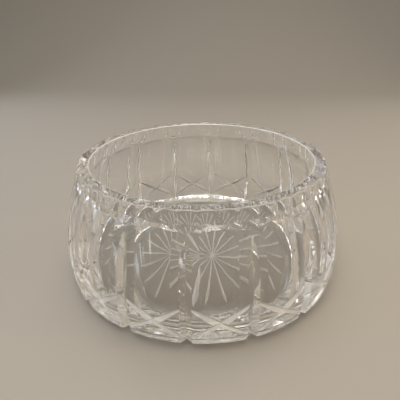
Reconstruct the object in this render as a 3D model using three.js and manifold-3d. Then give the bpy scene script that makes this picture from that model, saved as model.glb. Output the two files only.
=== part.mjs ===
// Cut lead crystal bowl, one piece: a turned barrel blank with hollow panels, upright mitre
// grooves between them, a row of short flutes round the rim, a diagonal cross low on every panel
// and a star under the base.
// Millimetres, +Z up, origin at the centre of the resting face.
import * as THREE from 'three';
import { mergeVertices } from 'three/addons/utils/BufferGeometryUtils.js';
import Module from 'manifold-3d';

const wasm = await Module();
wasm.setup();

// Outside of the blank
const height = 94;
const rimRadius = 92.2;
const neckDrop = 12;
const neckFlare = 1.2;
const bellyRadius = 105;
const bellyHeight = 26;
const heelInset = 1.7;
const heelHeight = 8.8;
const footFlare = 9;
const footHeight = 8;
const baseRadius = 88;
const baseRecess = 0.6;
const restingRingWidth = 14;

// Inside of the blank
const rimWall = 10.2;
const rimArris = 0.7;
const neckWall = 9.8;
const innerBellyRadius = 96.5;
const innerBellyHeight = 38;
const floorThickness = 10;
const floorFillet = 14;

// Hollow panels round the wall
const panelCount = 16;
const hollowRadius = 45;
const hollowReach = 0.42;
const hollowDepth = 2;
const hollowFootGap = 70;
const hollowWheel = 60;

// Short flutes round the rim
const flutesOnPanel = 3;
const fluteRadius = 17.9;
const fluteReach = 0.7;
const fluteDepth = 3;
const fluteWheel = 27;

// Upright mitre grooves between the panels, turned in under the heel
const grooveDepth = 2.5;
const grooveHalfAngle = THREE.MathUtils.degToRad(57);
const grooveTopGap = 15.5;
const grooveWheel = 60;
const notchWheel = 5.5;

// Crosses low on the panels
const crossTopGap = 55.5;
const crossRise = 26;
const crossDepth = 1.4;
const crossHalfAngle = THREE.MathUtils.degToRad(55);
const crossLift = 0.2;

// Star under the base
const starRays = 16;
const starMargin = 3;
const starDepth = 1.9;
const starHubDepth = 0.4;
const starHalfAngle = THREE.MathUtils.degToRad(48);
const starWheel = 40;

// Fineness
const turnSteps = 64;
const upperWallSteps = 5;
const lowerWallSteps = 2;
const innerWallSteps = 5;
const filletSteps = 5;
const hollowSteps = 6;
const fluteSteps = 4;
const crossSteps = 8;
const runSteps = 3;
const liftSteps = 4;
const mitreReach = 14;
const runOut = 0.6;

const panelAngle = (2 * Math.PI) / panelCount;
const neckHeight = height - neckDrop;
const neckRadius = rimRadius + neckFlare;

// Radius of the arc that moves in by inset over a height of drop, upright at its start
const arcRadius = (inset, drop) => (inset * inset + drop * drop) / (2 * inset);

const upperArc = arcRadius(bellyRadius - neckRadius, neckHeight - bellyHeight);
const lowerArc = arcRadius(heelInset, bellyHeight - heelHeight);
const innerNeckRadius = neckRadius - neckWall;
const innerArc = arcRadius(innerBellyRadius - innerNeckRadius, neckHeight - innerBellyHeight);
const innerArcCentre = innerBellyRadius - innerArc;

// Outer radius of the uncut wall at a height
function wallRadius(z) {
  if (z > neckHeight) {
    return neckRadius - (neckFlare * (z - neckHeight)) / neckDrop;
  }
  const bend = z > bellyHeight ? upperArc : lowerArc;
  return bellyRadius - bend + Math.sqrt(bend ** 2 - (z - bellyHeight) ** 2);
}

// Values from one to the other in even steps, without the last
function spread(from, to, steps) {
  return Array.from({ length: steps }, (_, i) => from + ((to - from) * i) / steps);
}

// Points along an arc in the turning plane, both ends kept
function arc(x, z, radius, from, to, steps) {
  return [...spread(from, to, steps), to].map(
    (angle) => new THREE.Vector2(x + radius * Math.cos(angle), z + radius * Math.sin(angle)),
  );
}

// Turned outline from the middle of the underside, up the outside, over the rim and down inside
function blankProfile() {
  const wallHeights = [
    ...spread(heelHeight, bellyHeight, lowerWallSteps),
    ...spread(bellyHeight, neckHeight, upperWallSteps),
    neckHeight,
    height,
  ];
  const rimInner = rimRadius - rimWall;
  const neckLean = Math.asin((neckHeight - innerBellyHeight) / innerArc);
  const filletZ = floorThickness + floorFillet;
  const filletRise = filletZ - innerBellyHeight;
  const filletX = innerArcCentre + Math.sqrt((innerArc - floorFillet) ** 2 - filletRise ** 2);
  const filletLean = Math.atan2(filletRise, filletX - innerArcCentre);
  const recessRadius = baseRadius - restingRingWidth;
  return [
    new THREE.Vector2(0, baseRecess),
    new THREE.Vector2(recessRadius - baseRecess, baseRecess),
    new THREE.Vector2(recessRadius, 0),
    new THREE.Vector2(baseRadius, 0),
    new THREE.Vector2(baseRadius + footFlare, footHeight),
    ...wallHeights.map((z) => new THREE.Vector2(wallRadius(z), z)),
    new THREE.Vector2(rimInner + rimArris, height),
    new THREE.Vector2(rimInner, height - rimArris),
    ...arc(innerArcCentre, innerBellyHeight, innerArc, neckLean, filletLean, innerWallSteps),
    ...arc(filletX, filletZ, floorFillet, filletLean, -Math.PI / 2, filletSteps).slice(1),
    new THREE.Vector2(0, floorThickness),
  ];
}

// Solid from a closed geometry
function solid(geometry) {
  const bare = geometry.clone();
  bare.deleteAttribute('normal');
  bare.deleteAttribute('uv');
  const merged = mergeVertices(bare, 1e-5);
  return new wasm.Manifold(new wasm.Mesh({
    numProp: 3,
    vertProperties: new Float32Array(merged.attributes.position.array),
    triVerts: new Uint32Array(merged.index.array),
  }));
}

// Blank turned about +Z
function turnedBlank() {
  const geometry = new THREE.LatheGeometry(blankProfile(), turnSteps);
  geometry.rotateX(Math.PI / 2);
  return solid(geometry);
}

// Cutting tool: one convex outline, its tip at the origin and open outwards, carried along
// stations that each give a place on the glass, the way out of it and the depth of the tip
function cutter(stations, outline) {
  const positions = [];
  stations.forEach(({ place, out, depth }, i) => {
    const before = stations[Math.max(i - 1, 0)].place;
    const after = stations[Math.min(i + 1, stations.length - 1)].place;
    const side = new THREE.Vector3().crossVectors(out, after.clone().sub(before)).normalize();
    for (const [across, lift] of outline) {
      const point = place.clone().addScaledVector(side, across).addScaledVector(out, lift - depth);
      positions.push(point.x, point.y, point.z);
    }
  });
  const count = outline.length;
  const last = (stations.length - 1) * count;
  const faces = [];
  for (let i = 0; i < stations.length - 1; i += 1) {
    for (let j = 0; j < count; j += 1) {
      const a = i * count + j;
      const b = i * count + ((j + 1) % count);
      faces.push(a, b, a + count, b, b + count, a + count);
    }
  }
  for (let j = 1; j < count - 1; j += 1) {
    faces.push(0, j + 1, j, last, last + j, last + j + 1);
  }
  const geometry = new THREE.BufferGeometry();
  geometry.setAttribute('position', new THREE.Float32BufferAttribute(positions, 3));
  geometry.setIndex(faces);
  return solid(geometry);
}

// Outline of a mitre wheel's edge
function mitreOutline(halfAngle) {
  const halfWidth = mitreReach * Math.tan(halfAngle);
  return [[0, 0], [halfWidth, mitreReach], [-halfWidth, mitreReach]];
}

// Outline of a round-faced wheel, to an angle of reach on each hand
function roundOutline(radius, reach, steps) {
  return [...spread(-reach, reach, steps), reach].map(
    (angle) => [radius * Math.sin(angle), radius * (1 - Math.cos(angle))],
  );
}

// Station on the uncut wall at an angle and a height
function wallStation(angle, z, depth) {
  const out = new THREE.Vector3(Math.cos(angle), Math.sin(angle), 0);
  const place = out.clone().multiplyScalar(wallRadius(z)).setZ(z);
  return { place, out, depth };
}

// How far a wheel has lifted out after travelling past the end of its full depth
const lifted = (past, wheel) => Math.max(0, past) ** 2 / (2 * wheel);

// How far a wheel travels while it lifts out of a cut
const liftLength = (depth, wheel) => Math.sqrt(2 * wheel * depth);

// Height above which a panel's hollow has its full depth
const hollowFullFoot = height - hollowFootGap + liftLength(hollowDepth, hollowWheel);

// Depth of a panel's hollow at a height, along the panel's middle
const hollowDepthAt = (z) => hollowDepth - lifted(hollowFullFoot - z, hollowWheel);

// Hollow of one panel, from above the heel up past the rim
function panelHollow(angle) {
  const start = hollowFullFoot - liftLength(hollowDepth + runOut, hollowWheel);
  const heights = [
    ...spread(start, hollowFullFoot, liftSteps),
    ...spread(hollowFullFoot, neckHeight, runSteps),
    neckHeight,
    height + runOut,
  ];
  const stations = heights.map((z) => wallStation(angle, z, hollowDepthAt(z)));
  return cutter(stations, roundOutline(hollowRadius, hollowReach, hollowSteps));
}

// Short flute that runs off the rim
function rimFlute(angle) {
  const start = height - liftLength(fluteDepth + runOut, fluteWheel);
  const heights = [...spread(start, height, liftSteps), height, height + runOut];
  const stations = heights.map(
    (z) => wallStation(angle, z, fluteDepth - lifted(height - z, fluteWheel)),
  );
  return cutter(stations, roundOutline(fluteRadius, fluteReach, fluteSteps));
}

// Upright groove, which ends in a point above and runs off the heel
function uprightGroove(angle) {
  const fullTop = height - grooveTopGap - liftLength(grooveDepth, grooveWheel);
  const end = fullTop + liftLength(grooveDepth + runOut, grooveWheel);
  const heights = [
    ...spread(-runOut, bellyHeight, runSteps),
    ...spread(bellyHeight, fullTop, runSteps),
    ...spread(fullTop, end, liftSteps),
    end,
  ];
  const stations = heights.map(
    (z) => wallStation(angle, z, grooveDepth - lifted(z - fullTop, grooveWheel)),
  );
  return cutter(stations, mitreOutline(grooveHalfAngle));
}

// The same groove turned in under the heel, where it soon lifts out
function heelNotch(angle) {
  const heel = wallRadius(heelHeight);
  const slope = (heelHeight - footHeight) / (heel - baseRadius - footFlare);
  const start = heel - liftLength(grooveDepth + runOut, notchWheel);
  const out = new THREE.Vector3(0, 0, -1);
  const stations = [...spread(start, heel, liftSteps), heel + runOut].map((radius) => {
    const place = new THREE.Vector3(radius * Math.cos(angle), radius * Math.sin(angle), 0);
    place.setZ(heelHeight - slope * (heel - radius));
    return { place, out, depth: grooveDepth - lifted(heel - radius, notchWheel) };
  });
  return cutter(stations, mitreOutline(grooveHalfAngle));
}

// One arm of a cross: a leaf cut below the panel's hollow, from a groove down to the next groove
// on either hand
function crossArm(angle, turn) {
  const topZ = height - crossTopGap;
  const curve = 1 / hollowRadius + 1 / bellyRadius;
  const stations = [...spread(-1, 1, crossSteps), 1].map((along) => {
    const z = topZ - (crossRise * (along + 1)) / 2;
    const across = (bellyRadius * panelAngle * along) / 2;
    const belowHollow = Math.max(0, hollowDepthAt(z) - (across * across * curve) / 2);
    const depth = crossDepth * (1 - along ** 4) + belowHollow - crossLift;
    return wallStation(angle + (turn * panelAngle * along) / 2, z, depth);
  });
  return cutter(stations, mitreOutline(crossHalfAngle));
}

// One ray of the star, shallow at the hub and lifting out short of the resting ring
function starRay(angle) {
  const end = baseRadius - restingRingWidth - starMargin;
  const full = end - liftLength(starDepth, starWheel);
  const past = full + liftLength(starDepth + baseRecess / 2, starWheel);
  const radii = [...spread(0, full, 2), ...spread(full, past, liftSteps), past];
  const out = new THREE.Vector3(0, 0, -1);
  const stations = radii.map((radius) => {
    const deepened = starHubDepth + (starDepth - starHubDepth) * Math.min(radius / full, 1);
    const place = new THREE.Vector3(Math.cos(angle), Math.sin(angle), 0).multiplyScalar(radius);
    return { place: place.setZ(baseRecess), out, depth: deepened - lifted(radius - full, starWheel) };
  });
  return cutter(stations, mitreOutline(starHalfAngle));
}

// Every cut of the pattern
function patternCuts() {
  const cuts = [];
  for (let i = 0; i < panelCount; i += 1) {
    const groove = i * panelAngle;
    const panel = groove + panelAngle / 2;
    cuts.push(panelHollow(panel), uprightGroove(groove), heelNotch(groove));
    cuts.push(crossArm(panel, 1), crossArm(panel, -1));
    for (let j = 0; j < flutesOnPanel; j += 1) {
      cuts.push(rimFlute(groove + (j * panelAngle) / flutesOnPanel));
    }
  }
  for (let i = 0; i < starRays; i += 1) {
    cuts.push(starRay((i * 2 * Math.PI) / starRays));
  }
  return cuts;
}

// Mesh geometry of a finished solid
function toGeometry(shape) {
  const { vertProperties, triVerts } = shape.getMesh();
  const geometry = new THREE.BufferGeometry();
  geometry.setAttribute('position', new THREE.Float32BufferAttribute(vertProperties, 3));
  geometry.setIndex(new THREE.Uint32BufferAttribute(triVerts, 1));
  geometry.computeVertexNormals();
  return geometry;
}

const crystal = new THREE.MeshStandardMaterial({
  color: '#eef2ef',
  roughness: 0.02,
  metalness: 0,
  transparent: true,
  opacity: 0.4,
});

const cutGlass = patternCuts().reduce((glass, cut) => glass.subtract(cut), turnedBlank());
const bowl = new THREE.Mesh(toGeometry(cutGlass), crystal);
bowl.name = 'bowl';

const part = new THREE.Group();
part.add(bowl);

export default part;
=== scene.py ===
"""Cut crystal bowl on a plain pale floor. Sizes are in millimetres until a mesh is made."""
import math

import bmesh
import bpy
from mathutils import Matrix, Vector


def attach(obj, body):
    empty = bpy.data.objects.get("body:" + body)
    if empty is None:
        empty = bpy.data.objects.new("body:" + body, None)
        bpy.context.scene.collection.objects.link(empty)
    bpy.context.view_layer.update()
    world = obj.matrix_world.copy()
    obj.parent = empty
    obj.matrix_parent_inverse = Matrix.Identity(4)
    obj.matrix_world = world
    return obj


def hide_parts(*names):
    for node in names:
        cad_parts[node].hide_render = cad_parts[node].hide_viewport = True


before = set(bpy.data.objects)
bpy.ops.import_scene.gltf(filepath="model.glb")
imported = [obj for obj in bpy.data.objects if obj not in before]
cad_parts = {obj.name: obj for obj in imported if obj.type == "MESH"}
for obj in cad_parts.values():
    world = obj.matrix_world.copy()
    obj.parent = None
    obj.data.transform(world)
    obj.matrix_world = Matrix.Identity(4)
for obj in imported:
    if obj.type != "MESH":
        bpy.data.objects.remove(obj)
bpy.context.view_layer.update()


# Blank
# The bowl is one gather of lead crystal, blown into a barrel with a heavy floor. Its rim is
# ground flat and eased inside, and below the heel it slopes in to a flat resting ring with a
# shallow recess inside it.
MM = 0.001
HEIGHT = 94.0
RIM_RADIUS = 92.2
RIM_WALL = 10.2
RIM_ARRIS = 0.7
NECK_DROP = 12.0
NECK_FLARE = 1.2
NECK_WALL = 9.8
BELLY_RADIUS = 105.0
BELLY_HEIGHT = 26.0
INNER_BELLY_RADIUS = 96.5
INNER_BELLY_HEIGHT = 38.0
HEEL_INSET = 1.7
HEEL_HEIGHT = 8.8
FOOT_FLARE = 9.0
FOOT_HEIGHT = 8.0
BASE_RADIUS = 88.0
FLOOR_THICKNESS = 10.0
FLOOR_FILLET = 14.0
BASE_RECESS = 0.6
RESTING_RING_WIDTH = 14.0

# How finely each stretch of the outline is drawn
TURN_STEPS = 384
RECESS_STEPS = 10
RING_STEPS = 2
FOOT_STEPS = 2
HEEL_STEPS = 4
WALL_STEPS = 30
NECK_STEPS = 3
ARRIS_STEPS = 6
INNER_STEPS = 28
FILLET_STEPS = 22
FLOOR_STEPS = 10


def arc_radius(inset, drop):
    """Radius of the arc that moves in by inset over a height of drop, upright at its start."""
    return (inset * inset + drop * drop) / (2 * inset)


NECK_HEIGHT = HEIGHT - NECK_DROP
NECK_RADIUS = RIM_RADIUS + NECK_FLARE
INNER_NECK_RADIUS = NECK_RADIUS - NECK_WALL
UPPER_ARC = arc_radius(BELLY_RADIUS - NECK_RADIUS, NECK_HEIGHT - BELLY_HEIGHT)
LOWER_ARC = arc_radius(HEEL_INSET, BELLY_HEIGHT - HEEL_HEIGHT)
INNER_ARC = arc_radius(INNER_BELLY_RADIUS - INNER_NECK_RADIUS, NECK_HEIGHT - INNER_BELLY_HEIGHT)
INNER_CENTRE = INNER_BELLY_RADIUS - INNER_ARC


def wall_radius(z):
    """Outer radius of the uncut wall at a height."""
    if z > NECK_HEIGHT:
        return NECK_RADIUS - NECK_FLARE * (z - NECK_HEIGHT) / NECK_DROP
    bend = UPPER_ARC if z > BELLY_HEIGHT else LOWER_ARC
    return BELLY_RADIUS - bend + math.sqrt(bend ** 2 - (z - BELLY_HEIGHT) ** 2)


def spread(start, end, steps):
    """Values from one to the other in even steps, both kept."""
    return [start + (end - start) * i / steps for i in range(steps + 1)]


def arc(x, z, radius, start, end, steps):
    """Points along an arc in the turning plane, both ends kept."""
    angles = spread(start, end, steps)
    return [(x + radius * math.cos(a), z + radius * math.sin(a)) for a in angles]


def straight(a, b, steps):
    """Points along a straight line, the last left out."""
    return list(zip(spread(a[0], b[0], steps), spread(a[1], b[1], steps)))[:-1]


def blank_outline():
    """Turned outline from the middle of the underside, up the outside and down inside."""
    recess = BASE_RADIUS - RESTING_RING_WIDTH
    recess_edge = (recess - BASE_RECESS, BASE_RECESS)
    ring_middle = (BASE_RADIUS - RESTING_RING_WIDTH / 2, 0)
    ring_edge = (BASE_RADIUS, 0)
    foot = (BASE_RADIUS + FOOT_FLARE, FOOT_HEIGHT)
    heel = (wall_radius(HEEL_HEIGHT), HEEL_HEIGHT)
    neck = (NECK_RADIUS, NECK_HEIGHT)
    rim = (RIM_RADIUS, HEIGHT)
    arris_x = RIM_RADIUS - RIM_WALL + RIM_ARRIS
    neck_lean = math.asin((NECK_HEIGHT - INNER_BELLY_HEIGHT) / INNER_ARC)
    fillet_z = FLOOR_THICKNESS + FLOOR_FILLET
    fillet_rise = fillet_z - INNER_BELLY_HEIGHT
    fillet_x = INNER_CENTRE + math.sqrt((INNER_ARC - FLOOR_FILLET) ** 2 - fillet_rise ** 2)
    fillet_lean = math.atan2(fillet_rise, fillet_x - INNER_CENTRE)
    floor_middle = (0, FLOOR_THICKNESS)
    return [
        *straight((0, BASE_RECESS), recess_edge, RECESS_STEPS),
        recess_edge,
        (recess, 0),
        *straight(ring_middle, ring_edge, RING_STEPS),
        *straight(ring_edge, foot, FOOT_STEPS),
        *straight(foot, heel, HEEL_STEPS),
        *[(wall_radius(z), z) for z in spread(HEEL_HEIGHT, NECK_HEIGHT, WALL_STEPS)[:-1]],
        *straight(neck, rim, NECK_STEPS),
        rim,
        *arc(arris_x, HEIGHT - RIM_ARRIS, RIM_ARRIS, math.pi / 2, math.pi, ARRIS_STEPS),
        *arc(INNER_CENTRE, INNER_BELLY_HEIGHT, INNER_ARC, neck_lean, fillet_lean, INNER_STEPS),
        *arc(fillet_x, fillet_z, FLOOR_FILLET, fillet_lean, -math.pi / 2, FILLET_STEPS)[1:],
        *straight((fillet_x, FLOOR_THICKNESS), floor_middle, FLOOR_STEPS)[1:],
        floor_middle,
    ]


def blank_curve():
    """The outline as a polyline in the XY plane, x its radius and y its depth below the floor."""
    mesh = bpy.data.meshes.new("cut_crystal_bowl")
    points = [(x * MM, -z * MM, 0) for x, z in blank_outline()]
    mesh.from_pydata(points, [(i, i + 1) for i in range(len(points) - 1)], [])
    return mesh


# Hollows
# Sixteen panels, each ground slightly hollow by a broad round-faced wheel. The wheel comes in
# above the heel, runs up the wall and leaves over the rim.
PANELS = 16
PITCH = 2 * math.pi / PANELS
HALF_PITCH = PITCH / 2
RUN_OUT = 0.6  # how far cutters go on past the glass
HOLLOW_RADIUS = 45.0  # of the wheel's round face
HOLLOW_REACH = 0.42  # radians of that face on each hand of its middle
HOLLOW_DEPTH = 2.0
HOLLOW_FOOT_GAP = 70.0
HOLLOW_WHEEL = 60.0  # radius on which the wheel comes in and lifts out
HOLLOW_STEPS = 30
HOLLOW_FACE_STEPS = 24


def ground_cut(name, stations, outline, finish=None):
    """A wheel's profile carried along stations of (place, way out of the glass, depth).

    Its faces carry the finish as a mark, which the glass that they cut keeps.
    """
    built = bmesh.new()
    rings = []
    for i, (place, out, depth) in enumerate(stations):
        before = stations[max(i - 1, 0)][0]
        after = stations[min(i + 1, len(stations) - 1)][0]
        side = out.cross(after - before).normalized()
        points = [(place + side * across + out * (lift - depth)) * MM for across, lift in outline]
        rings.append([built.verts.new(point) for point in points])
    count = len(outline)
    for ring, after in zip(rings, rings[1:]):
        for j in range(count):
            k = (j + 1) % count
            built.faces.new((ring[j], ring[k], after[k], after[j]))
    built.faces.new(reversed(rings[0]))
    built.faces.new(rings[-1])
    bmesh.ops.recalc_face_normals(built, faces=built.faces)
    mesh = bpy.data.meshes.new(name)
    built.to_mesh(mesh)
    built.free()
    if finish:
        marked = mesh.attributes.new(finish, "BOOLEAN", "FACE")
        marked.data.foreach_set("value", [True] * len(mesh.polygons))
    return bpy.data.objects.new(name, mesh)


def round_face(radius, reach, steps):
    """Profile of a round-faced wheel, to an angle of reach on each hand."""
    angles = [reach * (2 * i / steps - 1) for i in range(steps + 1)]
    return [(radius * math.sin(a), radius * (1 - math.cos(a))) for a in angles]


def on_wall(angle, z, depth):
    """Station on the uncut wall at an angle and a height."""
    out = Vector((math.cos(angle), math.sin(angle), 0))
    return (out * wall_radius(z) + Vector((0, 0, z)), out, depth)


def lift_length(wheel, depth):
    """How far along a cut its wheel takes to lift by a depth."""
    return math.sqrt(2 * wheel * depth)


def lifting(z, depth, wheel, full_foot, full_top):
    """Depth of a cut at a height, full between two heights and lifting out past them."""
    return depth - max(0, z - full_top, full_foot - z) ** 2 / (2 * wheel)


HOLLOW_FULL_FOOT = HEIGHT - HOLLOW_FOOT_GAP + lift_length(HOLLOW_WHEEL, HOLLOW_DEPTH)


def hollow_depth(z):
    """Depth of a panel's hollow at a height."""
    return lifting(z, HOLLOW_DEPTH, HOLLOW_WHEEL, HOLLOW_FULL_FOOT, HEIGHT)


def hollow():
    """Stations of a panel's hollow, from where the wheel comes in up past the rim."""
    start = HOLLOW_FULL_FOOT - lift_length(HOLLOW_WHEEL, HOLLOW_DEPTH + RUN_OUT)
    heights = spread(start, HEIGHT + RUN_OUT, HOLLOW_STEPS)
    return [on_wall(HALF_PITCH, z, hollow_depth(z)) for z in heights]


hollow_face = round_face(HOLLOW_RADIUS, HOLLOW_REACH, HOLLOW_FACE_STEPS)
cuts = {"Hollow": ground_cut("hollow_cut", hollow(), hollow_face)}


# Upright grooves
# A mitre wheel cuts a groove between each pair of panels. It ends in a point below the rim, and
# under the heel the same wheel turns in and leaves a notch.
WHEEL_REACH = 14.0  # from the edge of a mitre wheel to where its cutter ends, clear of the glass
MITRE_HALF_ANGLE = math.radians(57)
MITRE_DEPTH = 2.5
MITRE_TOP_GAP = 15.5
MITRE_WHEEL = 60.0
MITRE_STEPS = 48
NOTCH_WHEEL = 5.5
NOTCH_STEPS = 12


def mitre(half_angle):
    """Profile of a mitre wheel's edge."""
    half_width = WHEEL_REACH * math.tan(half_angle)
    return [(0, 0), (half_width, WHEEL_REACH), (-half_width, WHEEL_REACH)]


def upright():
    """Stations of an upright groove, which ends in a point above and runs off the heel."""
    full_top = HEIGHT - MITRE_TOP_GAP - lift_length(MITRE_WHEEL, MITRE_DEPTH)
    end = full_top + lift_length(MITRE_WHEEL, MITRE_DEPTH + RUN_OUT)
    heights = spread(-RUN_OUT, end, MITRE_STEPS)
    depths = [lifting(z, MITRE_DEPTH, MITRE_WHEEL, -RUN_OUT, full_top) for z in heights]
    return [on_wall(0, z, depth) for z, depth in zip(heights, depths)]


def notch():
    """Stations of the same groove turned in under the heel, where it soon lifts out."""
    heel = wall_radius(HEEL_HEIGHT)
    slope = (HEEL_HEIGHT - FOOT_HEIGHT) / (heel - BASE_RADIUS - FOOT_FLARE)
    start = heel - lift_length(NOTCH_WHEEL, MITRE_DEPTH + RUN_OUT)
    stations = []
    for radius in spread(start, heel + RUN_OUT, NOTCH_STEPS):
        depth = lifting(radius, MITRE_DEPTH, NOTCH_WHEEL, heel, heel + RUN_OUT)
        place = Vector((radius, 0, HEEL_HEIGHT - slope * (heel - radius)))
        stations.append((place, Vector((0, 0, -1)), depth))
    return stations


mitre_edge = mitre(MITRE_HALF_ANGLE)
cuts["Mitre"] = ground_cut("mitre_cut", upright(), mitre_edge, "soft_cut")
cuts["Notch"] = ground_cut("notch_cut", notch(), mitre_edge, "soft_cut")


# Crosses
# Two leaf-shaped mitre cuts cross low on each panel and meet those of the next panel at the
# grooves. Each is shallow at both ends and swells in the middle.
LEAF_HALF_ANGLE = math.radians(55)
LEAF_DEPTH = 1.4
LEAF_LIFT = 0.2  # how far its ends stand clear of the glass
LEAF_SWELL = 4  # the higher, the further its full depth runs
LEAF_TOP_GAP = 55.5
LEAF_RISE = 26.0
LEAF_STEPS = 24


def leaf(turn):
    """Stations of one leaf, down the wall to the left or right, cut below the hollow."""
    top_z = HEIGHT - LEAF_TOP_GAP
    stations = []
    for i in range(LEAF_STEPS + 1):
        along = 2 * i / LEAF_STEPS - 1
        z = top_z - LEAF_RISE * i / LEAF_STEPS
        across = BELLY_RADIUS * HALF_PITCH * along
        hollow_rise = across ** 2 * (1 / HOLLOW_RADIUS + 1 / BELLY_RADIUS) / 2
        below_hollow = max(0, hollow_depth(z) - hollow_rise)
        depth = LEAF_DEPTH * (1 - along ** LEAF_SWELL) + below_hollow - LEAF_LIFT
        stations.append(on_wall(HALF_PITCH * (1 + turn * along), z, depth))
    return stations


leaf_edge = mitre(LEAF_HALF_ANGLE)
cuts["Leaf Up"] = ground_cut("leaf_up_cut", leaf(-1), leaf_edge, "fine_cut")
cuts["Leaf Down"] = ground_cut("leaf_down_cut", leaf(1), leaf_edge, "fine_cut")


# Rim flutes
# Three short flutes on each panel, cut by a small round-faced wheel and deepest at the rim,
# which they leave with a wavy edge.
FLUTES_ON_PANEL = 3
FLUTE_RADIUS = 17.9
FLUTE_REACH = 0.7  # radians of the wheel's face on each hand
FLUTE_DEPTH = 3.0
FLUTE_WHEEL = 27.0
FLUTE_STEPS = 12
FLUTE_FACE_STEPS = 16


def flute(angle):
    """Stations of a rim flute, deepest at the rim."""
    start = HEIGHT - lift_length(FLUTE_WHEEL, FLUTE_DEPTH + RUN_OUT)
    heights = spread(start, HEIGHT + RUN_OUT, FLUTE_STEPS)
    depths = [lifting(z, FLUTE_DEPTH, FLUTE_WHEEL, HEIGHT, HEIGHT) for z in heights]
    return [on_wall(angle, z, depth) for z, depth in zip(heights, depths)]


flute_face = round_face(FLUTE_RADIUS, FLUTE_REACH, FLUTE_FACE_STEPS)
for i in range(FLUTES_ON_PANEL):
    stations = flute(i * PITCH / FLUTES_ON_PANEL)
    cuts[f"Flute {i + 1}"] = ground_cut("flute_cut", stations, flute_face)
panel_cuts = list(cuts)


# Star
# Sixteen mitre cuts meet under the middle of the base. Each is faint at the hub, deepens
# outwards and lifts out short of the resting ring.
RAYS = 16
RAY_HALF_ANGLE = math.radians(48)
RAY_DEPTH = 1.9
RAY_HUB_DEPTH = 0.4
RAY_MARGIN = 3.0
RAY_WHEEL = 40.0
RAY_OVERRUN = 0.1  # of the length that the wheel takes to lift
RAY_STEPS = 30


def ray():
    """Stations of one ray of the star, from the hub out to where the wheel lifts."""
    end = BASE_RADIUS - RESTING_RING_WIDTH - RAY_MARGIN
    lift = lift_length(RAY_WHEEL, RAY_DEPTH)
    full = end - lift
    stations = []
    for radius in spread(0, end + RAY_OVERRUN * lift, RAY_STEPS):
        depth = RAY_HUB_DEPTH + (RAY_DEPTH - RAY_HUB_DEPTH) * min(radius / full, 1)
        depth -= RAY_DEPTH * (max(0, radius - full) / lift) ** 2
        stations.append((Vector((radius, 0, BASE_RECESS)), Vector((0, 0, -1)), depth))
    return stations


cuts["Ray"] = ground_cut("ray_cut", ray(), mitre(RAY_HALF_ANGLE), "satin_cut")


# Polished crystal
# Lead crystal, cut and then polished in acid: clear, heavy and very bright, bending light more
# than window glass does. The acid rounds every edge, so edges catch fine highlights, and it
# leaves the surface faintly wavy, so what is seen through it bends.
GLASS_COLOUR = "#ffffff"
CRYSTAL_INDEX = 1.545
ROUNDED_EDGE = 0.5
ROUNDING_SAMPLES = 4
WAVE_LENGTH = 18.0
WAVE_HEIGHT = 0.2  # a few times that of real glass, so that the waves show
WAVE_DETAIL = 0.0
RIPPLE_LENGTH = 3.0  # coarser than real ripples, which would be too fine to show
RIPPLE_SHARE = 0.1
RIPPLE_DETAIL = 1.0
RING_TOP = 0.05
RING_ROUGHNESS = 0.3
SCRATCH_LENGTH = 1.2  # coarser than real scratches, which would be too fine to show
SCRATCH_DETAIL = 2.0


def linear(colour):
    """An sRGB hex colour as linear red, green, blue and alpha."""
    parts = [int(colour[i:i + 2], 16) / 255 for i in (1, 3, 5)]
    return (*[p / 12.92 if p <= 0.04045 else ((p + 0.055) / 1.055) ** 2.4 for p in parts], 1)


def node(tree, kind, inputs=None, **settings):
    """Adds a node with its settings, and fills or links its inputs."""
    made = tree.nodes.new(kind)
    for name, value in settings.items():
        setattr(made, name, value)
    for key, value in (inputs or {}).items():
        if isinstance(value, bpy.types.NodeSocket):
            tree.links.new(value, made.inputs[key])
        else:
            made.inputs[key].default_value = value
    return made


def emptied(block):
    """The block's node tree, with nothing in it."""
    block.use_nodes = True
    block.node_tree.nodes.clear()
    return block.node_tree


crystal = bpy.data.materials.new("lead_crystal_acid_polished")
tree = emptied(crystal)
place = node(tree, "ShaderNodeTexCoord").outputs["Object"]
waves = node(tree, "ShaderNodeTexNoise", {
    "Vector": place,
    "Scale": 1 / (WAVE_LENGTH * MM),
    "Detail": WAVE_DETAIL,
})
ripples = node(tree, "ShaderNodeTexNoise", {
    "Vector": place,
    "Scale": 1 / (RIPPLE_LENGTH * MM),
    "Detail": RIPPLE_DETAIL,
})
ripple = node(tree, "ShaderNodeMath", {
    0: ripples.outputs[0],
    1: RIPPLE_SHARE,
}, operation="MULTIPLY")
relief = node(tree, "ShaderNodeMath", {0: waves.outputs[0], 1: ripple.outputs[0]}, operation="ADD")
rounded = node(tree, "ShaderNodeBevel", {"Radius": ROUNDED_EDGE * MM}, samples=ROUNDING_SAMPLES)
wavy = node(tree, "ShaderNodeBump", {
    "Height": relief.outputs[0],
    "Strength": 1.0,
    "Distance": WAVE_HEIGHT * MM,
    "Normal": rounded.outputs[0],
})

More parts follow.
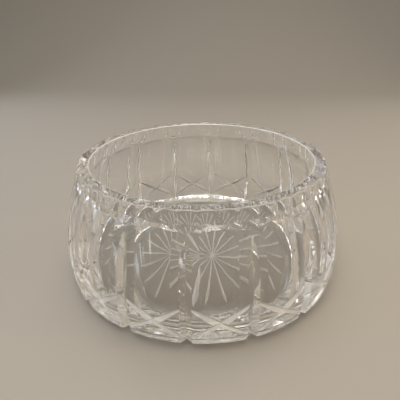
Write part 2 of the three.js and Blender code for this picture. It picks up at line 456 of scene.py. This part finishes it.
# The resting ring is scuffed by use
rise = node(tree, "ShaderNodeSeparateXYZ", {"Vector": place}).outputs["Z"]
ring = node(tree, "ShaderNodeMath", {0: rise, 1: RING_TOP * MM}, operation="LESS_THAN")
scratches = node(tree, "ShaderNodeTexNoise", {
    "Vector": place,
    "Scale": 1 / (SCRATCH_LENGTH * MM),
    "Detail": SCRATCH_DETAIL,
})
worn = node(tree, "ShaderNodeMath", {
    0: scratches.outputs[0],
    1: RING_ROUGHNESS,
}, operation="MULTIPLY")
scuffed = node(tree, "ShaderNodeMath", {0: worn.outputs[0], 1: ring.outputs[0]}, operation="MULTIPLY")
glass = node(tree, "ShaderNodeBsdfPrincipled", {
    "Base Color": linear(GLASS_COLOUR),
    "Roughness": scuffed.outputs[0],
    "IOR": CRYSTAL_INDEX,
    "Transmission Weight": 1.0,
    "Normal": wavy.outputs[0],
})
node(tree, "ShaderNodeOutputMaterial", {"Surface": glass.outputs[0]})


# Ground finishes
# The acid hardly reaches into fine cuts, so they keep some of the wheel's grey and look creamy
# and half clear: least in the broad uprights, more in the crosses, most in the star and on the
# eased edge of the rim. Each name is also the mark that its cutters leave on their faces.
GROUND_COLOUR = "#fdfaf2"
SOFT_ROUGHNESS = 0.02
SOFT_CLEAR = 0.96
FINE_ROUGHNESS = 0.06
FINE_CLEAR = 0.5
SATIN_ROUGHNESS = 0.08
SATIN_CLEAR = 0.15
EDGE_ROUGHNESS = 0.1
EDGE_CLEAR = 0.25
MARK_LENGTH = 2.0  # coarser than a wheel's real marks, which would be too fine to show
MARK_HEIGHT = 0.03
MARK_DETAIL = 2.0

cut_finishes = {}
for name, finish, roughness, clear in (
    ("lead_crystal_upright_cuts", "soft_cut", SOFT_ROUGHNESS, SOFT_CLEAR),
    ("lead_crystal_cross_cuts", "fine_cut", FINE_ROUGHNESS, FINE_CLEAR),
    ("lead_crystal_satin_cuts", "satin_cut", SATIN_ROUGHNESS, SATIN_CLEAR),
    ("lead_crystal_eased_edge", "eased_edge", EDGE_ROUGHNESS, EDGE_CLEAR),
):
    ground = bpy.data.materials.new(name)
    tree = emptied(ground)
    place = node(tree, "ShaderNodeTexCoord").outputs["Object"]
    marks = node(tree, "ShaderNodeTexNoise", {
        "Vector": place,
        "Scale": 1 / (MARK_LENGTH * MM),
        "Detail": MARK_DETAIL,
    })
    rounded = node(tree, "ShaderNodeBevel", {"Radius": ROUNDED_EDGE * MM}, samples=ROUNDING_SAMPLES)
    marked = node(tree, "ShaderNodeBump", {
        "Height": marks.outputs[0],
        "Strength": 1.0,
        "Distance": MARK_HEIGHT * MM,
        "Normal": rounded.outputs[0],
    })
    face = node(tree, "ShaderNodeBsdfPrincipled", {
        "Base Color": linear(GROUND_COLOUR),
        "Roughness": roughness,
        "IOR": CRYSTAL_INDEX,
        "Transmission Weight": clear,
        "Normal": marked.outputs[0],
    })
    node(tree, "ShaderNodeOutputMaterial", {"Surface": face.outputs[0]})
    cut_finishes[finish] = ground


# Cut bowl
# The finished bowl: the blank turned from its outline, every cut carried round it and taken
# out, and each face given the finish that its wheel left. Edges that a wheel leaves stay sharp
# and all else is smooth.
AXIS_GAP = 0.01
MERGE_GAP = 0.03
SHARP_ABOVE = math.radians(9)  # between neighbouring faces
EDGE_SHARE = 0.98  # of the eased edge's height, so that the flat rim stays out of it

tree = bpy.data.node_groups.new("cut_bowl", "GeometryNodeTree")
tree.is_modifier = True
tree.interface.new_socket(name="Outline", in_out="INPUT", socket_type="NodeSocketGeometry")
tree.interface.new_socket(name="Bowl", in_out="OUTPUT", socket_type="NodeSocketGeometry")
tree_inputs = {
    "Turn Steps": ("NodeSocketInt", TURN_STEPS),
    "Axis Gap": ("NodeSocketFloat", AXIS_GAP * MM),
    "Merge Gap": ("NodeSocketFloat", MERGE_GAP * MM),
    "Panels": ("NodeSocketInt", PANELS),
    "Rays": ("NodeSocketInt", RAYS),
    "Sharp Above": ("NodeSocketFloat", SHARP_ABOVE),
    "Edge Middle": ("NodeSocketFloat", (HEIGHT - RIM_ARRIS / 2) * MM),
    "Edge Reach": ("NodeSocketFloat", RIM_ARRIS / 2 * EDGE_SHARE * MM),
    "Crystal": ("NodeSocketMaterial", crystal),
    **{finish: ("NodeSocketMaterial", ground) for finish, ground in cut_finishes.items()},
    **{name: ("NodeSocketObject", cutter) for name, cutter in cuts.items()},
}
sockets = {
    name: tree.interface.new_socket(name=name, in_out="INPUT", socket_type=kind)
    for name, (kind, _) in tree_inputs.items()
}
given = node(tree, "NodeGroupInput").outputs

# The outline is swept round a hair-thin circle, and the two poles are then closed
outline = node(tree, "GeometryNodeMeshToCurve", {"Mesh": given["Outline"]})
axis = node(tree, "GeometryNodeCurvePrimitiveCircle", {
    "Resolution": given["Turn Steps"],
    "Radius": given["Axis Gap"],
}, mode="RADIUS")
turned = node(tree, "GeometryNodeCurveToMesh", {
    "Curve": axis.outputs["Curve"],
    "Profile Curve": outline.outputs[0],
})
closed = node(tree, "GeometryNodeMergeByDistance", {
    "Geometry": turned.outputs[0],
    "Distance": given["Merge Gap"],
})
carved = node(tree, "GeometryNodeFlipFaces", {"Mesh": closed.outputs[0]})

# One pass for each panel takes all of its cuts out, and then one for each ray of the star
for count_name, names in (("Panels", panel_cuts), ("Rays", ["Ray"])):
    start = node(tree, "GeometryNodeRepeatInput")
    end = node(tree, "GeometryNodeRepeatOutput")
    start.pair_with_output(end)
    tree.links.new(given[count_name], start.inputs["Iterations"])
    tree.links.new(carved.outputs[0], start.inputs["Geometry"])
    share = node(tree, "ShaderNodeMath", {
        0: start.outputs["Iteration"],
        1: given[count_name],
    }, operation="DIVIDE")
    turn = node(tree, "ShaderNodeMath", {0: share.outputs[0], 1: 2 * math.pi}, operation="MULTIPLY")
    about = node(tree, "ShaderNodeCombineXYZ", {"Z": turn.outputs[0]})
    carve = node(tree, "GeometryNodeMeshBoolean", {
        "Mesh 1": start.outputs["Geometry"],
    }, operation="DIFFERENCE", solver="MANIFOLD")
    for name in names:
        cutter = node(tree, "GeometryNodeObjectInfo", {"Object": given[name]})
        held = node(tree, "GeometryNodeTransform", {
            "Geometry": cutter.outputs["Geometry"],
            "Rotation": about.outputs[0],
        })
        tree.links.new(held.outputs[0], carve.inputs["Mesh 2"])
    tree.links.new(carve.outputs["Mesh"], end.inputs["Geometry"])
    carved = end

# Edges where faces meet at more than a slight angle stay sharp
fold = node(tree, "GeometryNodeInputMeshEdgeAngle")
sharp = node(tree, "FunctionNodeCompare", {
    0: fold.outputs["Unsigned Angle"],
    1: given["Sharp Above"],
}, data_type="FLOAT", operation="GREATER_THAN")
smooth = node(tree, "GeometryNodeSetShadeSmooth", {
    "Geometry": carved.outputs["Geometry"],
    "Shade Smooth": True,
}, domain="FACE")
edged = node(tree, "GeometryNodeSetShadeSmooth", {
    "Geometry": smooth.outputs[0],
    "Selection": sharp.outputs[0],
    "Shade Smooth": False,
}, domain="EDGE")

# Faces take the finish whose mark they carry, and the eased edge is known by its height
whole = node(tree, "GeometryNodeRealizeInstances", {"Geometry": edged.outputs[0]})
finished = node(tree, "GeometryNodeSetMaterial", {
    "Geometry": whole.outputs[0],
    "Material": given["Crystal"],
})
place = node(tree, "GeometryNodeInputPosition")
face_height = node(tree, "ShaderNodeSeparateXYZ", {"Vector": place.outputs[0]}).outputs["Z"]
on_edge = node(tree, "FunctionNodeCompare", {
    "A": face_height,
    "B": given["Edge Middle"],
    "Epsilon": given["Edge Reach"],
}, data_type="FLOAT", operation="EQUAL")
for finish in cut_finishes:
    chosen = on_edge.outputs[0]
    if finish != "eased_edge":
        mark = node(tree, "GeometryNodeInputNamedAttribute", {"Name": finish}, data_type="BOOLEAN")
        chosen = mark.outputs["Attribute"]
    finished = node(tree, "GeometryNodeSetMaterial", {
        "Geometry": finished.outputs[0],
        "Selection": chosen,
        "Material": given[finish],
    })
node(tree, "NodeGroupOutput", {"Bowl": finished.outputs[0]})

bowl = bpy.data.objects.new("cut_crystal_bowl", blank_curve())
bpy.context.scene.collection.objects.link(bowl)
cutting = bowl.modifiers.new("cutting", "NODES")
cutting.node_group = tree
for name, (_, value) in tree_inputs.items():
    cutting[sockets[name].identifier] = value
bpy.context.view_layer.update()
evaluated = bowl.evaluated_get(bpy.context.evaluated_depsgraph_get())
cut_mesh = bpy.data.meshes.new_from_object(evaluated)
cut_mesh.materials.pop(index=0)  # the outline's own slot, which is empty
bowl.modifiers.remove(cutting)
bowl.data = cut_mesh
for cutter in cuts.values():
    bpy.data.objects.remove(cutter)
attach(bowl, "root")
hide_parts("bowl")


# Camera
# Stands where the photograph was taken from, a little right of one upright groove and about a
# hand's breadth above the rim.
CAMERA_DISTANCE = 278.2
CAMERA_ABOVE_RIM = 100.2
CAMERA_BEARING = math.radians(5.67)
CAMERA_PITCH = math.radians(26.5)
CAMERA_YAW = math.radians(0.3)
CAMERA_ROLL = math.radians(-0.81)
FOCAL_SHARE = 0.98  # of the sensor's width
SENSOR = 36.0
NEAR_CLIP = 10.0

lens = bpy.data.cameras.new("camera")
lens.sensor_fit = "HORIZONTAL"
lens.sensor_width = SENSOR
lens.lens = FOCAL_SHARE * SENSOR
lens.clip_start = NEAR_CLIP * MM
camera = bpy.data.objects.new("camera", lens)
ahead = Vector((0, -CAMERA_DISTANCE, HEIGHT + CAMERA_ABOVE_RIM))
standing = Matrix.Rotation(CAMERA_BEARING, 4, "Z") @ ahead
camera.matrix_world = (
    Matrix.Translation(standing * MM)
    @ Matrix.Rotation(CAMERA_BEARING + CAMERA_YAW, 4, "Z")
    @ Matrix.Rotation(math.pi / 2 - CAMERA_PITCH, 4, "X")
    @ Matrix.Rotation(CAMERA_ROLL, 4, "Z")
)
bpy.context.scene.collection.objects.link(camera)
bpy.context.scene.camera = camera


# Floor
# A sweep of matt background paper that lies flat under the bowl and curves up behind it. It
# stays a hair below the resting ring, as air does between glass and table, so that the glass
# does not look dark there.
FLOOR_COLOUR = "#aca498"
PAPER_ROUGHNESS = 0.9
SWEEP_FRONT = -900.0
SWEEP_BACK = 700.0
SWEEP_RADIUS = 350.0
SWEEP_HALF_WIDTH = 1600.0
SWEEP_TOP = 1500.0
SWEEP_STEPS = 24
AIR_FILM = 0.1

paper = bpy.data.materials.new("matt_background_paper")
tree = emptied(paper)
matt = node(tree, "ShaderNodeBsdfPrincipled", {
    "Base Color": linear(FLOOR_COLOUR),
    "Roughness": PAPER_ROUGHNESS,
})
node(tree, "ShaderNodeOutputMaterial", {"Surface": matt.outputs[0]})

bend = arc(SWEEP_BACK, SWEEP_RADIUS - AIR_FILM, SWEEP_RADIUS, -math.pi / 2, 0, SWEEP_STEPS)
side_line = [(SWEEP_FRONT, -AIR_FILM), *bend, (SWEEP_BACK + SWEEP_RADIUS, SWEEP_TOP)]
sides = (-SWEEP_HALF_WIDTH, SWEEP_HALF_WIDTH)
points = [(x * MM, y * MM, z * MM) for x in sides for y, z in side_line]
row = len(side_line)
sweep_mesh = bpy.data.meshes.new("sweep")
sweep_mesh.from_pydata(points, [], [(i, row + i, row + i + 1, i + 1) for i in range(row - 1)])
sweep_mesh.materials.append(paper)
sweep_mesh.shade_smooth()
sweep = bpy.data.objects.new("sweep", sweep_mesh)
bpy.context.scene.collection.objects.link(sweep)


# Lamps
# Two large softboxes light the bowl from above and from the camera's side. Smaller ones at the
# sides and the back corners put highlights on the cuts, and the two at the sides are cool and
# warm, in place of the colours that real crystal splits light into.
NEAR_WHITE = "#fffaf2"
COOL_BLUE = "#8abaff"
WARM_AMBER = "#ffdab0"
COOL_WHITE = "#e6eeff"
CREAM_WHITE = "#fff4e4"

# Name, place, height aimed at over the middle, width, depth, watts and colour
for name, place, aim_height, width, depth, watts, colour in (
    ("top_softbox", (0, 100, 1000), 40, 700, 700, 3.8, NEAR_WHITE),
    ("front_softbox", (0, -500, 850), 40, 500, 500, 3.6, NEAR_WHITE),
    ("left_softbox", (-800, -300, 500), 60, 200, 300, 0.8, COOL_BLUE),
    ("right_softbox", (750, -150, 450), 60, 200, 300, 0.7, WARM_AMBER),
    ("left_back_softbox", (-620, 480, 400), 60, 300, 300, 0.9, COOL_WHITE),
    ("right_back_softbox", (620, 480, 400), 60, 300, 300, 0.9, CREAM_WHITE),
):
    lamp = bpy.data.lights.new(name, "AREA")
    lamp.shape = "RECTANGLE"
    lamp.size = width * MM
    lamp.size_y = depth * MM
    lamp.energy = watts
    lamp.color = linear(colour)[:3]
    holder = bpy.data.objects.new(name, lamp)
    holder.visible_camera = False
    holder.location = Vector(place) * MM
    facing = Vector(place) - Vector((0, 0, aim_height))
    holder.rotation_euler = facing.to_track_quat("Z", "Y").to_euler()
    bpy.context.scene.collection.objects.link(holder)


# Dome and backdrop
# A soft dome, dim at the sides and brighter overhead, fills in the shadows. The camera, and what
# glass mirrors or lets through, meet a plain pale backdrop in its place.
SKY_COLOUR = "#fbfaf8"
BACKDROP_COLOUR = "#c2bcb2"
DOME_LOW = 0.3  # both are sines of the height above the horizon
DOME_HIGH = 0.5
DOME_EDGE = 0.08
DOME_TOP = 0.4
LIGHT_BOUNCES = 32

world = bpy.data.worlds.new("studio")
tree = emptied(world)
direction = node(tree, "ShaderNodeTexCoord").outputs["Generated"]
rise = node(tree, "ShaderNodeSeparateXYZ", {"Vector": direction}).outputs["Z"]
glow = node(tree, "ShaderNodeMapRange", {
    "Value": rise,
    "From Min": DOME_LOW,
    "From Max": DOME_HIGH,
    "To Min": DOME_EDGE,
    "To Max": DOME_TOP,
}, interpolation_type="SMOOTHSTEP")
sky = node(tree, "ShaderNodeBackground", {
    "Color": linear(SKY_COLOUR),
    "Strength": glow.outputs["Result"],
})
backdrop = node(tree, "ShaderNodeBackground", {
    "Color": linear(BACKDROP_COLOUR),
    "Strength": 1.0,
})
ray_kinds = node(tree, "ShaderNodeLightPath").outputs
mirrored = node(tree, "ShaderNodeMath", {
    0: ray_kinds["Is Camera Ray"],
    1: ray_kinds["Is Glossy Ray"],
}, operation="MAXIMUM")
seen = node(tree, "ShaderNodeMath", {
    0: mirrored.outputs[0],
    1: ray_kinds["Is Transmission Ray"],
}, operation="MAXIMUM")
shown = node(tree, "ShaderNodeMixShader", {
    0: seen.outputs[0],
    1: sky.outputs[0],
    2: backdrop.outputs[0],
})
node(tree, "ShaderNodeOutputWorld", {"Surface": shown.outputs[0]})
bpy.context.scene.world = world

scene = bpy.context.scene
scene.view_settings.view_transform = "Standard"
scene.cycles.max_bounces = LIGHT_BOUNCES
scene.cycles.transmission_bounces = LIGHT_BOUNCES
scene.cycles.glossy_bounces = LIGHT_BOUNCES
